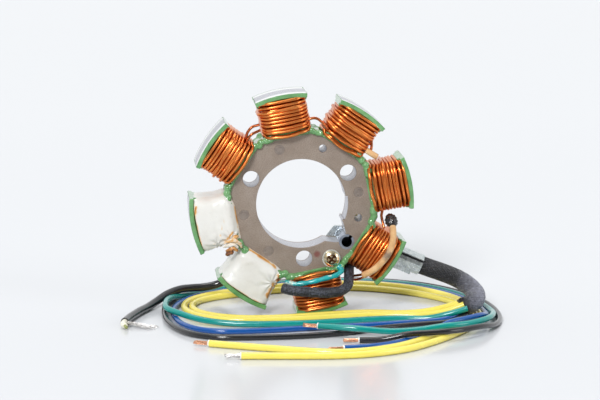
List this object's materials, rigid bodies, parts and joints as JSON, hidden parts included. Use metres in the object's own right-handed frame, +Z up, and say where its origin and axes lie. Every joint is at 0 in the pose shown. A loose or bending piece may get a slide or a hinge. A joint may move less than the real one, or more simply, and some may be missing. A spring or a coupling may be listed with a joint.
{
  "type": "magneto stator with ignition coils",
  "caption": "Laminated magneto stator with bare copper windings, tape-wrapped ignition coils, green epoxy insulation and a loose wiring harness through a crimped clamp.",
  "frame": {"origin": "centre of the bore at the front face of the core", "axes": "+Y runs along the bore from the front face to the rear, +Z is up with the stator standing on its bottom pole, +X is right seen from the front"},
  "size_m": [0.149, 0.1359, 0.088],
  "materials": {
    "lamination_steel": "ground silicon-steel laminations, bare tips",
    "plate_steel": "dull brown-grey coated sheet steel, satin",
    "green_epoxy": "thin green epoxy powder coating, satin",
    "copper_enamel": "amber enamel over copper wire, glossy",
    "white_tape": "varnished white glass-cloth tape, glossy, brown stained edges",
    "amber_varnish": "hardened amber resin, glossy",
    "tan_sleeving": "varnished glass-fibre sleeving, satin",
    "black_sleeving": "braided black sleeving, matte",
    "black_plastic": "black shrink sleeve, matte",
    "spring_steel": "bluish spring steel, satin",
    "zinc_screw": "yellow passivated zinc plate, satin",
    "zinc_bright": "bright zinc plate",
    "tin_lug": "tinned brass lug, satin",
    "teal_insulation": "teal PVC insulation",
    "yellow_insulation": "yellow PVC insulation, glossy",
    "green_insulation": "green PVC insulation, glossy",
    "blue_insulation": "blue PVC insulation, glossy",
    "black_insulation": "black PVC insulation, glossy",
    "bare_copper": "bare copper strands",
    "tinned_strands": "tinned copper strands",
    "cream_dielectric": "cream inner insulation"
  },
  "bodies": {
    "root": {"lamination_stack": "lamination_steel", "front_end_plate": "plate_steel", "rear_end_plate": "plate_steel", "core_rivets": "plate_steel", "spring_pin": "spring_steel", "ground_screw": "zinc_screw", "ground_washer": "zinc_bright", "ground_lug": "tin_lug", "ground_nut": "zinc_bright", "ground_wire": "teal_insulation", "pole_coating": "green_epoxy", "rim_coating": "green_epoxy", "winding_right": "copper_enamel", "winding_upper_right": "copper_enamel", "winding_top": "copper_enamel", "winding_upper_left": "copper_enamel", "exciter_coil_left": "copper_enamel", "exciter_coil_lower_left": "copper_enamel", "winding_bottom": "copper_enamel", "winding_lower_right": "copper_enamel", "coil_tape_left": "white_tape", "coil_tape_lower_left": "white_tape", "tape_varnish": "amber_varnish", "coil_jumpers": "copper_enamel", "splice_sleeve": "tan_sleeving", "lead_sleeving": "tan_sleeving", "sleeving_cap": "black_plastic", "coil_lead": "copper_enamel", "woven_sleeving": "black_sleeving", "cable_clamp": "zinc_bright", "harness_sleeve": "black_sleeving", "rear_lead_yellow_a": "yellow_insulation", "rear_lead_yellow_b": "yellow_insulation", "rear_lead_green": "green_insulation", "rear_lead_blue": "blue_insulation", "rear_lead_black": "black_insulation", "yellow_wire_a": "yellow_insulation", "yellow_wire_b": "yellow_insulation", "green_wire": "green_insulation", "blue_wire": "blue_insulation", "black_wire": "black_insulation", "yellow_strands_a": "bare_copper", "yellow_strands_b": "tinned_strands", "green_strands": "bare_copper", "blue_strands": "bare_copper", "black_strands": "bare_copper", "pickup_lead": "black_insulation", "lead_dielectric": "cream_dielectric", "lead_conductor": "bare_copper", "lead_shield": "tinned_strands"}
  },
  "joints": []
}
